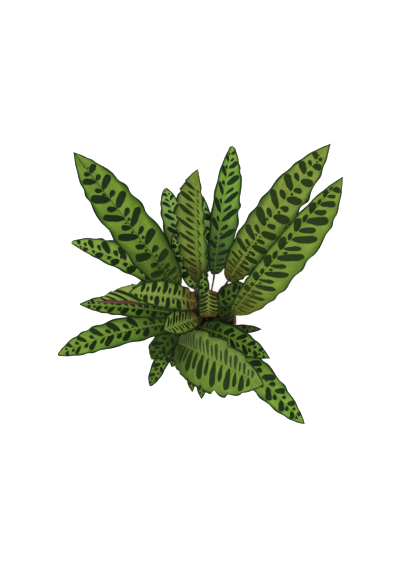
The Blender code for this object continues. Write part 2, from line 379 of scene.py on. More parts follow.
def makePaintGroup():
    # the colour of a blade's face from its marks, midrib and margin
    rule = paintRule
    group, given, out = newGroup(
        "bladePaint",
        {"Vector": ["Place"], "Color": ["Light", "Dark", "Foot", "Rib"],
         "Float": ["Half Width", "Marks", "Veins", "Seed", "Foot Reach", "Edge Shade", "Rib Show",
                   *sidedLabels("Bronze", "Grey")]},
        {"Color": ["Color"], "Float": ["Gloss", "Height"]})
    phase, across, along = splitVector(group, given["Place"])
    isLeft = maths(group, "GREATER_THAN", across, 0.0)
    share = maths(group, "ABSOLUTE", across)
    fromRib = times(group, share, given["Half Width"])
    fromEdge = maths(group, "SUBTRACT", given["Half Width"], fromRib)
    where = addNode(group, "CombineXYZ", 0, X=times(group, phase, rule["cloudStretch"]), Y=across,
                    Z=given["Seed"])
    cloud = noiseAt(group, where, rule["cloudScale"], 3.0)
    grain = noiseAt(group, where, rule["grainScale"])
    # painted shade: a deeper green towards the margin, most of all in the lower half of the blade
    start = timesPlus(group, cloud, rule["edgeCloud"], ramp(group, along, *rule["edgeBand"]))
    edgeShade = times(group, ramp(group, share, start, 1.0), given["Edge Shade"])
    bronze = pickSide(group, given, isLeft, "Bronze")
    bronze = times(group, bronze, ramp(group, share, *rule["bronzeBand"]))
    veins = timesPlus(group, given["Veins"], rule["veinShow"], rule["veinShow"])
    # the foot of the blade: its own brown, and painted shade where the leaves above shade the neck
    foot = maths(group, "DIVIDE", along, given["Foot Reach"])
    foot = times(group, ramp(group, foot, *rule["footBand"]), rule["footShow"])
    light = layered(
        group, given["Light"], (ramp(group, cloud, *rule["cloudBand"]), rule["cloudTint"], "MULTIPLY"),
        (edgeShade, rule["edgeTint"], "MULTIPLY"), (bronze, given["Foot"]),
        (veins, rule["veinTint"], "MULTIPLY"), (foot, given["Foot"]))
    dark = blendColours(group, times(group, foot, rule["footOnMarks"]), given["Dark"], given["Foot"])
    # painted sheen: a pale dull green over one half of some blades, light and dark alike
    bloom = pickSide(group, given, isLeft, "Grey")
    rib = times(group, ramp(group, fromRib, *rule["ribBand"]), given["Rib Show"])
    line = ramp(group, timesPlus(group, grain, rule["lineRagged"], fromEdge), *rule["lineBand"])
    face = layered(
        group, light, (times(group, given["Marks"], rule["markShow"]), dark), (bloom, rule["bloom"]),
        (rib, given["Rib"]), (line, rule["line"]),
        (times(group, grain, rule["grainShow"]), rule["grainTint"], "MULTIPLY"))
    feed(group, out["Color"], face)
    feed(group, out["Gloss"], timesPlus(group, cloud, rule["glossCloud"], timesPlus(
        group, given["Marks"], rule["glossMarks"], rule["gloss"])))
    feed(group, out["Height"], timesPlus(
        group, given["Veins"], rule["veinHeight"], times(group, grain, rule["grainHeight"])))
    return group


marksGroup = makeMarksGroup()
paintGroup = makePaintGroup()

# light is the green between the marks, dark is the marks, and foot is the colour at the blade's foot:
# partly its own brown and partly painted shade where the leaves above shade the neck, and on the
# dark green feet wholly painted shade
# The yellower light green of bark, amber, gold and olive is painted sheen, on blades that catch the light.
tones = {
    "grass": dict(light=(0.135, 0.240, 0.031), dark=(0.006, 0.019, 0.008), foot=(0.030, 0.075, 0.022)),
    "bark": dict(light=(0.166, 0.226, 0.035), dark=(0.010, 0.021, 0.003), foot=(0.045, 0.036, 0.007)),
    "amber": dict(light=(0.176, 0.232, 0.043), dark=(0.008, 0.021, 0.004), foot=(0.145, 0.072, 0.013)),
    "shade": dict(light=(0.140, 0.235, 0.027), dark=(0.005, 0.017, 0.004), foot=(0.026, 0.046, 0.009)),
    "coolShade": dict(light=(0.140, 0.228, 0.047), dark=(0.006, 0.019, 0.007), foot=(0.030, 0.070, 0.022)),
    "moss": dict(light=(0.146, 0.236, 0.025), dark=(0.005, 0.017, 0.005), foot=(0.050, 0.070, 0.012)),
    "dusk": dict(light=(0.146, 0.222, 0.033), dark=(0.012, 0.028, 0.008), foot=(0.022, 0.030, 0.009)),
    "fresh": dict(light=(0.140, 0.235, 0.027), dark=(0.007, 0.021, 0.006), foot=(0.060, 0.070, 0.008)),
    "lime": dict(light=(0.152, 0.236, 0.035), dark=(0.006, 0.019, 0.005), foot=(0.080, 0.110, 0.014)),
    "gold": dict(light=(0.165, 0.238, 0.029), dark=(0.009, 0.024, 0.005), foot=(0.100, 0.110, 0.014)),
    "cool": dict(light=(0.140, 0.228, 0.047), dark=(0.006, 0.019, 0.007), foot=(0.030, 0.060, 0.012)),
    "olive": dict(light=(0.166, 0.226, 0.035), dark=(0.012, 0.026, 0.004), foot=(0.090, 0.072, 0.010)),
}
bladeBump = dict(Strength=0.35, Distance=0.0004)


def faceLook(tree, leaf):
    tone = tones[leaf["tone"]]
    place, seed = attribute(tree, "place"), float(leaf["seed"])
    marks = useGroup(
        tree, marksGroup, Place=place, Slant=attribute(tree, "slant"), Seed=seed, Last=leaf["last"],
        Taper=leaf["taper"], Blunt=leaf["blunt"], Small_Width=leaf["smallWidth"], Near=leaf["near"],
        Dots=leaf["dots"], Neck_Short=leaf["neckShort"], **sidedValues(
            Lead=leaf["shift"], Rate=leaf["rate"], Length=leaf["markLength"],
            Width=leaf["markWidth"], Small=leaf["smallMark"]))
    # the light green and the midrib are scaled per leaf: painted light and shade, for how brightly each leaf
    # is lit
    paint = useGroup(
        tree, paintGroup, Place=place, Half_Width=attribute(tree, "halfWidth", "Fac"), Seed=seed,
        Marks=marks["Marks"], Veins=marks["Veins"], Light=[c * leaf["glow"] for c in tone["light"]],
        Dark=tone["dark"], Foot=tone["foot"], Foot_Reach=leaf["footReach"], Edge_Shade=leaf["edgeShade"],
        Rib=[c * leaf["rib"] * leaf["glow"] for c in tone[leaf["ribTone"]]], Rib_Show=leaf["ribShow"],
        **sidedValues(Bronze=leaf["bronze"], Grey=leaf["grey"]))
    return paint["Color"], paint["Gloss"], paint["Height"]


undersideRule = dict(
    maroon=(0.092, 0.024, 0.020), deep=(0.058, 0.016, 0.015), deepBand=(0.3, 0.7),
    margin=(0.060, 0.050, 0.016), marginBand=(0.80, 1.0, 0.0, 0.55), rib=(0.120, 0.062, 0.034),
    ribBand=(0.0030, 0.0010, 0.0, 0.6), vein=(0.125, 0.040, 0.034), veinShow=0.12, cloudScale=45.0,
    grainScale=900.0, gloss=0.40, glossCloud=0.2, veinHeight=0.5, grainHeight=0.4, bump=bladeBump,
    shine=0.12)


def undersideLook(tree, rule):
    place = addNode(tree, "TexCoord", "Object")
    cloud = noiseAt(tree, place, rule["cloudScale"], 3.0)
    grain = noiseAt(tree, place, rule["grainScale"])
    phase, across, _ = splitVector(tree, attribute(tree, "place"))
    share = maths(tree, "ABSOLUTE", across)
    fromRib = times(tree, share, attribute(tree, "halfWidth", "Fac"))
    veins = maths(tree, "SINE", times(tree, phase, 2 * math.pi * markRule["veinsPerStep"]))
    colour = layered(
        tree, rule["maroon"], (ramp(tree, cloud, *rule["deepBand"]), rule["deep"]),
        (ramp(tree, share, *rule["marginBand"]), rule["margin"]),
        (ramp(tree, fromRib, *rule["ribBand"]), rule["rib"]),
        (timesPlus(tree, veins, rule["veinShow"], rule["veinShow"]), rule["vein"]))
    height = timesPlus(tree, veins, rule["veinHeight"], times(tree, grain, rule["grainHeight"]))
    return colour, timesPlus(tree, cloud, rule["glossCloud"], rule["gloss"]), height


maroonUnderside = newFinish("maroonUnderside", undersideLook, undersideRule)
print("leaf finishes made")

# Shape. foot is where the stalk leaves the soil, and neck where the blade starts. From there it
# runs towards heading at rise degrees, and has arched down and swung by its tip. roll lifts its
# left side, and lean is the left half's share of its width, at the neck and at the tip. fold lifts
# both sides. belly is where it is widest, tip keeps it broad, close and tipRadius round its end.
# In the pairs from here on, the left half comes first. wave is the height of the margin's waves,
# and scallop is how far they go in and out. lobes is the depth of the margin's rounded lobes,
# whose steps face the tip where it is below 0, with lobeRate of them for each large mark.
# Colour. glow lightens or darkens the green and the midrib, as painted light and shade for how
# brightly each leaf is lit, footReach is how far the foot's brown and painted shade run, edgeShade
# darkens the margins as painted shade, bronze dulls one half, grey lays a painted sheen over one
# half, and ribShow draws the midrib in ribTone times rib.
# Marks. lead is where along the blade a large one starts, step is the distance between them,
# neckStep its share at the neck, growing by stepGrowth, and rate packs them closer. slant leans
# their veins to the tip, neckSlant is the slant at the neck, and near is where they start from the
# midrib. neckShort shortens them at the neck, taper widens them outward, blunt squares their ends,
# dots is how common the dots are, and no mark starts beyond markEnd.
plainLeaf = dict(
    swing=0, roll=(0, 0), fold=8, lean=(0.5, 0.5), belly=0.42, tip=2.8, close=1, tipRadius=0.0006,
    wave=0.0022, scallop=(1.0, 1.0), lobes=(0.0, 0.0), lobeRate=(1.0, 1.0),
    tone="fresh", glow=1.0, shine=0.03, footReach=0.16, edgeShade=0.9, bronze=(0.0, 0.0),
    grey=(0.0, 0.0), rib=1.3, ribTone="light", ribShow=0.4,
    lead=(0.50, 0.44), step=1.0, neckStep=0.38, stepGrowth=2.6, rate=(1.0, 1.0), slant=(1.0, 1.0),
    neckSlant=0.15, markLength=(1.0, 1.0), markWidth=(1.0, 1.0), neckShort=0.0,
    smallMark=(1.0, 1.0), smallWidth=1.0, near=0.06, taper=0.2, blunt=2.7, dots=1.0, markEnd=0.92)
leaves = {
    "back_left": dict(
        foot=(-0.013, 0.010), neck=(-0.047, 0.035, 0.1985), heading=131.5, rise=41, arch=30,
        swing=-2.5, length=0.298, width=0.0745, lean=(0.5, 0.49), tip=3.2, wave=0.0030,
        tone="moss", glow=0.95, footReach=0.42, rib=3.0, ribTone="dark", ribShow=0.8,
        lead=(0.535, 0.475), slant=(0.72, 0.6), markLength=(1.06, 1.0), markWidth=(1.0, 0.95),
        near=0.01, taper=0.14, markEnd=0.88),
    "low_back_left": dict(
        foot=(-0.021, 0.014), neck=(-0.068, 0.060, 0.165), heading=158, rise=28, arch=30, swing=5,
        length=0.187, width=0.048, lean=(0.46, 0.34), belly=0.3, tip=2.7, close=0.8,
        tipRadius=0.0025, tone="lime", glow=1.35),
    "slim_back_left": dict(
        foot=(-0.012, 0.022), neck=(-0.022, 0.067, 0.1485), heading=106, rise=41, arch=25, swing=4,
        length=0.177, width=0.047, lean=(0.58, 0.58), close=0.65, tipRadius=0.0020,
        tone="coolShade", glow=1.75, footReach=0.12, edgeShade=0.55,
        step=0.85, markWidth=(0.85, 0.85), dots=0.6, markEnd=0.97),
    "short_back_left": dict(
        foot=(-0.006, 0.016), neck=(-0.015, 0.042, 0.180), heading=120, rise=30, arch=20, swing=-10,
        length=0.108, width=0.032, tone="cool", glow=1.7),
    "back": dict(
        foot=(-0.004, 0.008), neck=(-0.009, 0.041, 0.215), heading=98, rise=52, arch=25, swing=-13,
        length=0.206, width=0.056, roll=(-30, -20), fold=22, lean=(0.45, 0.74), tip=3.4, close=0.9,
        tipRadius=0.0008, scallop=(1.0, 3.5), lobes=(0.28, 0.0),
        tone="bark", footReach=0.34, bronze=(0.25, 0.0), ribShow=0.12,
        step=0.7, rate=(1.0, 1.35), slant=(0.72, -0.9), neckSlant=1.3, markLength=(1.2, 0.6),
        markWidth=(0.92, 0.75), smallMark=(1.1, 0.75), smallWidth=0.85, blunt=2.2, dots=0.2,
        markEnd=0.86),
    "hidden_back": dict(
        foot=(0.000, 0.024), neck=(0.004, 0.075, 0.170), heading=93, rise=42, arch=20, length=0.140,
        width=0.030, tone="cool", glow=2.2, step=1.4),
    "slim_back": dict(
        foot=(0.007, 0.026), neck=(0.017, 0.066, 0.190), heading=84, rise=52, arch=30, swing=-5,
        length=0.233, width=0.049, roll=(20, 10), fold=12, lean=(0.385, 0.385), tip=3.2, close=0.85,
        tipRadius=0.0035, tone="grass", glow=1.2, footReach=0.62,
        slant=(1.8, 1.0), markLength=(1.05, 1.1), markWidth=(0.66, 0.82), smallMark=(0.85, 1.1),
        taper=0.1, dots=0.3, markEnd=0.96),
    "back_right": dict(
        foot=(0.010, 0.020), neck=(0.041, 0.051, 0.200), heading=52, rise=43, arch=30, swing=-4,
        length=0.295, width=0.068, fold=10, lean=(0.49, 0.5), tip=3.0, wave=0.0030,
        scallop=(0.6, 1.8), tone="olive", glow=1.06, footReach=0.2,
        lead=(0.535, 0.485), neckStep=0.22, stepGrowth=1.7, slant=(0.65, 0.35),
        markLength=(1.15, 1.08), markWidth=(1.0, 1.2), smallMark=(1.1, 1.1), near=0.0),
    "right": dict(
        foot=(0.018, 0.001), neck=(0.047, -0.009, 0.205), heading=47, rise=43, arch=30, swing=2,
        length=0.300, width=0.0735, roll=(38, 30), fold=22, lean=(0.37, 0.37), tip=3.2, wave=0.0020,
        scallop=(1.0, 0.6), tone="gold", glow=0.96, footReach=0.3, edgeShade=0.65,
        lead=(0.490, 0.435), neckStep=0.25, stepGrowth=1.7, slant=(0.85, 0.8),
        markLength=(1.05, 0.97), markWidth=(1.12, 1.0), smallMark=(1.1, 1.1), near=-0.02),
    "short_right": dict(
        foot=(0.017, 0.006), neck=(0.023, 0.024, 0.150), heading=24, rise=33, arch=30, length=0.067,
        width=0.042, tip=3.2, glow=0.75, step=0.7),
    "low_right": dict(
        foot=(0.020, 0.008), neck=(0.026, 0.020, 0.125), heading=-39, rise=0, arch=30, length=0.037,
        width=0.030, glow=0.35, step=0.7),
    "tiny_right": dict(
        foot=(0.020, -0.008), neck=(0.032, -0.024, 0.135), heading=2, rise=10, arch=30,
        length=0.074, width=0.017, glow=0.6),
    "front_right": dict(
        foot=(0.001, -0.012), neck=(-0.0065, -0.0225, 0.150), heading=-23.5, rise=34, arch=46,
        swing=-6, length=0.141, width=0.046, lean=(0.52, 0.44), belly=0.36,
        tone="shade", glow=1.15, footReach=0.5, step=0.75),
    "front": dict(
        foot=(-0.010, -0.016), neck=(-0.046, -0.058, 0.190), heading=-40, rise=68, arch=62,
        swing=13, length=0.210, width=0.090, roll=(24, 30), fold=10, lean=(0.43, 0.43), belly=0.53,
        tipRadius=0.0050, wave=0.0026, scallop=(0.2, 0.2), lobes=(-0.34, -0.18),
        lobeRate=(0.5, 1.0),
        tone="dusk", glow=0.97, shine=0.0, footReach=0.55, edgeShade=0.45, grey=(0.13, 0.0),
        step=0.66, neckStep=0.25, rate=(1.5, 1.0), slant=(-0.15, 0.3), markLength=(0.95, 1.0),
        markWidth=(1.0, 1.15), neckShort=0.6, smallMark=(1.3, 1.3), near=0.0, taper=0.35, dots=0.3),
    "long_right": dict(
        foot=(0.011, -0.014), neck=(0.018, -0.032, 0.150), heading=-47.5, rise=22, arch=50, swing=4,
        length=0.233, width=0.053, lean=(0.56, 0.4), belly=0.34, tip=2.6, close=0.8, glow=1.2),
    "left": dict(
        foot=(-0.006, -0.001), neck=(-0.014, 0.005, 0.230), heading=-171, rise=64, arch=25,
        length=0.168, width=0.049, lean=(0.49, 0.49), tip=3.4,
        tone="amber", glow=1.4, shine=0.02, footReach=0.4,
        step=0.8, slant=(0.6, -0.5), markLength=(1.2, 1.25), markWidth=(1.15, 1.2),
        smallMark=(1.25, 1.25), smallWidth=0.8, near=0.08, taper=0.1, blunt=1.9, dots=0.5),
    "folded_left": dict(
        foot=(-0.014, 0.003), neck=(-0.050, 0.0055, 0.2005), heading=-178, rise=30, arch=20,
        length=0.141, width=0.078, roll=(34, 69), fold=26, lean=(0.37, 0.41), tip=3.0,
        lobes=(0.0, 0.22), tone="amber", glow=1.75, shine=0.02,
        step=0.7, rate=(1.0, 1.4), slant=(1.0, 1.4), markLength=(1.0, 1.2), markWidth=(1.0, 0.85),
        smallMark=(1.0, 0.2), near=0.02, blunt=2.2, dots=0.0),
    "spotted_left": dict(
        foot=(-0.021, -0.001), neck=(-0.050, 0.000, 0.163), heading=176, rise=27, arch=30, swing=2,
        length=0.175, width=0.038, lean=(0.46, 0.46), tip=3.4, tipRadius=0.0015,
        tone="shade", glow=1.03, footReach=0.5, step=0.85),
    "long_left": dict(
        foot=(-0.016, -0.007), neck=(-0.052, -0.014, 0.150), heading=-172, rise=17, arch=40,
        swing=14, length=0.226, width=0.0495, lean=(0.51, 0.51), tip=2.9, close=0.85,
        tipRadius=0.0020, tone="shade", glow=1.05, footReach=0.42,
        markLength=(1.0, 1.12), markWidth=(0.95, 0.85)),
    "short_front_left": dict(
        foot=(-0.009, -0.008), neck=(-0.0122, -0.0243, 0.2385), heading=-147, rise=58, arch=20,
        length=0.094, width=0.045, lean=(0.38, 0.5), belly=0.5, tip=3.0, tipRadius=0.0030,
        tone="amber", glow=1.18, shine=0.0, footReach=0.3, ribShow=0.25,
        step=0.53, slant=(0.0, -0.8), markLength=(1.1, 1.1), smallMark=(1.3, 1.3), smallWidth=0.95,
        near=0.02, blunt=2.0, dots=0.3),
    "upright": dict(
        foot=(0.004, 0.002), neck=(0.0055, -0.019, 0.230), heading=92, rise=102, arch=48,
        length=0.100, width=0.034, tip=5.0, close=0.55,
        tone="amber", glow=0.95, shine=0.0, footReach=0.6, edgeShade=0.3, bronze=(0.25, 0.35),
        ribShow=0.1,
        step=0.85, neckStep=0.6, slant=(-0.5, -0.5), markLength=(1.25, 1.25), markWidth=(1.1, 1.1),
        smallMark=(2.2, 2.2), smallWidth=1.2, near=0.0, blunt=2.0, dots=0.0, markEnd=1.0),
    "small_low_left": dict(
        foot=(-0.025, -0.009), neck=(-0.050, -0.0275, 0.147), heading=-132, rise=12, arch=40,
        length=0.071, width=0.040, lean=(0.47, 0.4), tip=3.4,
        tone="shade", glow=0.34, footReach=0.5, step=0.7),
    "narrow_low_left": dict(
        foot=(-0.019, -0.021), neck=(-0.059, -0.052, 0.135), heading=-119, rise=6, arch=40,
        length=0.087, width=0.026, lean=(0.43, 0.43), tip=3.4, tipRadius=0.0020,
        tone="shade", glow=0.75, footReach=0.5, step=0.8),
    "tiny_low_left": dict(
        foot=(-0.013, -0.024), neck=(-0.038, -0.044, 0.120), heading=-118, rise=2, arch=40,
        length=0.053, width=0.026, glow=0.5),
    "low_front_left": dict(
        foot=(-0.006, -0.025), neck=(-0.030, -0.060, 0.130), heading=-84, rise=2, arch=40,
        length=0.080, width=0.020, glow=0.75),
    "low_front": dict(
        foot=(0.001, -0.026), neck=(-0.004, -0.058, 0.120), heading=-91, rise=4, arch=40,
        length=0.093, width=0.026, glow=0.75),
    "short_back": dict(
        foot=(0.002, 0.009), neck=(-0.0015, 0.012, 0.190), heading=92, rise=68, arch=20,
        length=0.079, width=0.021, tone="shade", glow=0.95, footReach=0.5),
}

# In metres, or shares of the blade's length or width. The waves swell from both ends to the middle
# and are highest at the margin, crown rounds each half up, and droop lets its margin down. The
# three numbers of a noise are its scales along the blade, across it and from leaf to leaf. The
# step between large marks grows with the blade's width, and shrinks beyond tipStart. Side veins
# have their full slant from slantGrown on, and are fullLength long there per metre outward.
bladeRule = dict(
    narrowest=0.0010, thickness=0.0007, rowLength=0.0019, leastRows=28, columnWidth=0.0024,
    leastColumns=7, columnPower=1.2, endCrowding=0.55, neckPower=2.3, wavesPerMark=0.92, wavePower=2.4,
    waveLeast=0.65, waveVaries=0.7, waveNoise=14, wander=0.55, wanderNoise=(22, 9, 3.7),
    swellEnd=1.02, swellPower=0.6, swellWidth=0.014, groove=0.0007, grooveWidth=0.0014,
    grooveFull=0.006, crown=0.055, droop=0.035, droopPower=5, pleat=0.00016, pleats=4,
    pleatFull=0.004, bump=0.0012, bumpNoise=(5, 1.3, 1.9), scallop=0.055, scallopLag=1.3,
    scallopPower=3, lobe=1.5, lobePower=5, step=0.018, stepPerWidth=0.28, tipStart=0.68,
    tipSpan=0.32, tipCloser=0.40, stepTable=200, slantGrown=0.42, fullSlant=1.1, fullLength=1.49,
    slantPasses=4, skewLimit=4, skewWidth=0.001)


def titled(name):
    return "".join(word.title() for word in name.split("_"))


def between(pair, along):
    return pair[0] + (pair[1] - pair[0]) * along


def bladeAxes(leaf, along):
    climb = math.radians(leaf["rise"] - leaf["arch"] * along)
    turn = math.radians(leaf["heading"] + leaf["swing"] * along)
    roll = math.radians(between(leaf["roll"], along))
    flat = math.cos(climb)
    forward = Vector((flat * math.cos(turn), flat * math.sin(turn), math.sin(climb)))
    left = Vector((-math.sin(turn), math.cos(turn), 0))
    up = forward.cross(left)
    side = left * math.cos(roll) + up * math.sin(roll)
    return forward, side, up * math.cos(roll) - left * math.sin(roll)


def halfWidth(leaf, along):
    belly = leaf["belly"]
    if along < belly:
        share = math.sqrt(max(0, 1 - (1 - along / belly) ** bladeRule["neckPower"]))
    else:
        share = (1 - ((along - belly) / (1 - belly)) ** leaf["tip"]) ** leaf["close"]
    half = leaf["width"] / 2 * share
    # a small round end in place of a sharp point
    fromTip = (1 - along) * leaf["length"]
    half = math.sqrt(half ** 2 + 2 * leaf["tipRadius"] * min(fromTip, leaf["tipRadius"]))
    return max(half, bladeRule["narrowest"])


def bladeStations(leaf, rows):
    # closer together at both ends, where the outline turns fastest
    point, last, found = Vector(leaf["neck"]), 0.0, []
    for i in range(rows + 1):
        t = i / rows
        along = t - bladeRule["endCrowding"] * math.sin(2 * math.pi * t) / (2 * math.pi)
        forward, _, _ = bladeAxes(leaf, (along + last) / 2)
        point = point + forward * leaf["length"] * (along - last)
        last = along
        _, side, out = bladeAxes(leaf, along)
        full, lean = 2 * halfWidth(leaf, along), between(leaf["lean"], along)
        found.append((along, point, side, out, (full * lean, full * (1 - lean))))
    return found


def markStep(leaf, along):
    # the distance from one large mark to the next, closer near the neck and near the tip
    rule = bladeRule
    full = (rule["step"] + rule["stepPerWidth"] * leaf["width"]) * leaf["step"]
    grown = min(1, leaf["neckStep"] + leaf["stepGrowth"] * max(0, along))
    return full * grown * (1 - rule["tipCloser"] * max(0, (along - rule["tipStart"]) / rule["tipSpan"]))


def phaseTable(leaf):
    steps, total, table = bladeRule["stepTable"], 0.0, [0.0]
    for i in range(steps):
        total += leaf["length"] / steps / markStep(leaf, (i + 0.5) / steps)
        table.append(total)
    return table


def phaseAt(leaf, table, metres):
    # marks passed since the neck; a side vein that starts below the neck has a negative count
    spot = metres / leaf["length"] * (len(table) - 1)
    if spot <= 0:
        return metres / markStep(leaf, 0)
    low = min(int(spot), len(table) - 2)
    return table[low] + (table[low + 1] - table[low]) * (spot - low)


def veinSlant(leaf, half, metres):
    # how far a side vein runs forward for each metre outward: square at the neck, slanting later
    grown = min(1, max(0, metres / leaf["length"] / bladeRule["slantGrown"]))
    return leaf["slant"][half] * (leaf["neckSlant"] + (bladeRule["fullSlant"] - leaf["neckSlant"]) * grown)


def veinStart(leaf, half, metres, reach):
    # where the side vein through this point leaves the midrib
    start = metres
    for _ in range(bladeRule["slantPasses"]):
        start = metres - veinSlant(leaf, half, start) * reach
    return start


def bladeSpot(leaf, table, along, widths, column):
    # one point of the face: where it lies in its half, and where its wave has got to there
    rule = bladeRule
    across = math.copysign(abs(column) ** rule["columnPower"], column)
    half, handed = (0, 0.5) if across > 0 else (1, 0.0)
    at = SimpleNamespace(along=along, across=across, share=abs(across), half=half, handed=handed)
    at.wide = widths[half]
    at.reach = at.share * at.wide
    at.start = veinStart(leaf, half, along * leaf["length"], at.reach)
    at.phase = phaseAt(leaf, table, at.start)
    byStart, bySide, bySeed = rule["wanderNoise"]
    wander = noise.noise(Vector((at.start * byStart, handed * bySide, leaf["seed"] * bySeed)))
    at.beat = 2 * math.pi * (at.phase * rule["wavesPerMark"] + handed + rule["wander"] * wander)
    at.swell = math.sin(math.pi * min(1, along * rule["swellEnd"])) ** rule["swellPower"] * min(
        1, at.wide / rule["swellWidth"])
    return at


def liftOff(leaf, at):
    # how far the face stands above the flat half: its waves, groove, crown, droop and pleats
    rule = bladeRule
    uneven = noise.noise(Vector((at.start * rule["waveNoise"], leaf["seed"], at.handed)))
    ruffle = leaf["wave"] * (rule["waveLeast"] + rule["waveVaries"] * uneven) * at.swell
    lift = ruffle * at.share ** rule["wavePower"] * math.sin(at.beat)
    lift -= rule["groove"] * math.exp(-(at.reach / rule["grooveWidth"]) ** 2) * min(
        1, at.wide / rule["grooveFull"])
    lift += rule["crown"] * 4 * at.share * (1 - at.share) * at.wide
    lift -= rule["droop"] * at.wide * at.share ** rule["droopPower"]
    lift += rule["pleat"] * math.sin(2 * math.pi * at.phase * rule["pleats"]) * min(
        1, at.reach / rule["pleatFull"])
    # slow bumps, none at the midrib, where the rib lies close below
    byLength, byWidth, bySeed = rule["bumpNoise"]
    return lift + rule["bump"] * at.swell * min(1, 2 * at.share) * noise.noise(
        Vector((at.along * byLength, at.across * byWidth, leaf["seed"] * bySeed)))


def spreadOut(leaf, at):
    # how much wider the half is here: the margin goes in and out, and rounded lobes end in steps
    rule = bladeRule
    spread = 1 + leaf["scallop"][at.half] * rule["scallop"] * at.swell * math.sin(
        at.beat + rule["scallopLag"]) * at.share ** rule["scallopPower"]
    lobe = (at.phase * leaf["rate"][at.half] + leaf["shift"][at.half]) * leaf["lobeRate"][at.half] % 1
    lobe = lobe if leaf["lobes"][at.half] < 0 else 1 - lobe
    # 2 / pi is the lobe's mean height, so that lobes leave the width as it was
    return spread + abs(leaf["lobes"][at.half]) * rule["lobe"] * at.along * at.swell * (
        at.share ** rule["lobePower"]) * (math.sin(math.pi / 2 * lobe) - 2 / math.pi)


def growBlade(name, leaf):
    rule = bladeRule
    rows = max(rule["leastRows"], round(leaf["length"] / rule["rowLength"]))
    columns = 2 * max(rule["leastColumns"], round(leaf["width"] / 2 / rule["columnWidth"]))
    stations = bladeStations(leaf, rows)
    table = phaseTable(leaf)
    leaf["shift"] = [-phaseAt(leaf, table, lead * leaf["length"]) * rate
                     for lead, rate in zip(leaf["lead"], leaf["rate"])]
    leaf["last"] = phaseAt(leaf, table, leaf["markEnd"] * leaf["length"])
    fold = math.radians(leaf["fold"])
    bm = bmesh.new()
    bmesh.ops.create_grid(bm, x_segments=rows, y_segments=columns, size=0.5)
    placeLayer = bm.verts.layers.float_vector.new("place")
    halfLayer = bm.verts.layers.float.new("halfWidth")
    slantLayer = bm.verts.layers.float_vector.new("slant")
    for vertex in bm.verts:
        along, point, side, out, widths = stations[round((vertex.co.x + 0.5) * rows)]
        at = bladeSpot(leaf, table, along, widths, 2 * vertex.co.y)
        lift = liftOff(leaf, at)
        reach = at.reach * spreadOut(leaf, at)
        vertex.co = point + side * math.copysign(reach, at.across) * math.cos(fold) + out * (
            reach * math.sin(fold) + lift)
        vertex[placeLayer] = (at.phase, at.across, along)
        vertex[halfLayer] = at.wide
        slant = veinSlant(leaf, at.half, at.start)
        skew = slant * markStep(leaf, along) / (1 + slant * slant) / max(at.wide, rule["skewWidth"])
        skew = min(rule["skewLimit"], max(-rule["skewLimit"], skew))
        vertex[slantLayer] = (skew, math.sqrt(1 + slant * slant) / rule["fullLength"], 0)
    face = newFinish("face" + titled(name), faceLook, {**leaf, "bump": bladeBump})
    piece = addPiece("blade" + titled(name), bm, [face, maroonUnderside], ["blade_" + name])
    shell = piece.modifiers.new("thickness", "SOLIDIFY")
    shell.thickness = rule["thickness"]
    shell.offset = -1
    shell.material_offset = 1


# In metres, or shares of the stalk's length, or of the blade's for its rib. knee is where the knee
# starts and is full, in knee lengths below the neck, and where it gets thinner again. The bands of
# colour are in shares too, and go on from 1 at the neck to 2 at the blade's tip.
stalkRule = dict(
    sides=10, steps=26, radius=0.0015, tipRadius=0.00035, footRadius=0.0025, footDepth=0.006,
    footGap=0.0001, soilGap=0.0003, buriedRun=-0.02, sheathHeight=0.035, riseShare=0.40,
    approachShare=0.22, kneeRadius=0.0019, kneeLength=0.014, knee=(1.3, 0.8, 0.97), kneeThinner=0.5,
    ribSteps=40, ribRows=80, ribEnd=0.93, ribPower=0.7, ribShare=0.8, ribGap=0.0002, ribEase=0.05,
    leastCosine=0.5,
    footTone=(0.060, 0.058, 0.022), wine=(0.018, 0.013, 0.010), wineBand=(0.05, 0.75),
    neckTone=(0.050, 0.055, 0.018), neckBand=(0.90, 0.97, 0.0, 0.8),
    ribTone=(0.095, 0.042, 0.028), ribBand=(1.02, 1.2),
    blotch=(0.026, 0.013, 0.011), blotchScale=60.0, blotchBand=(0.35, 0.7, 0.0, 0.6),
    streak=(0.014, 0.011, 0.009), streakStretch=(900.0, 900.0, 40.0), streakShow=0.35,
    gloss=0.38, glossCloud=0.2, bump=dict(Strength=0.4, Distance=0.0003), shine=0.06)


def stalkLook(tree, rule):
    place = addNode(tree, "TexCoord", "Object")
    run = attribute(tree, "run", "Fac")
    cloud = noiseAt(tree, place, rule["blotchScale"], 3.0)
    streak = noiseAt(tree, addNode(
        tree, "Mapping", 0, Vector=place, Scale=rule["streakStretch"]), 1.0)
    colour = layered(
        tree, rule["footTone"], (ramp(tree, run, *rule["wineBand"]), rule["wine"]),
        (ramp(tree, run, *rule["neckBand"]), rule["neckTone"]),
        (ramp(tree, run, *rule["ribBand"]), rule["ribTone"]),
        (ramp(tree, cloud, *rule["blotchBand"]), rule["blotch"]),
        (times(tree, streak, rule["streakShow"]), rule["streak"]))
    return colour, timesPlus(tree, cloud, rule["glossCloud"], rule["gloss"]), streak


wineStalk = newFinish("wineStalk", stalkLook, stalkRule)


def smoothStep(low, high, value):
    t = min(1, max(0, (value - low) / (high - low)))
    return t * t * (3 - 2 * t)


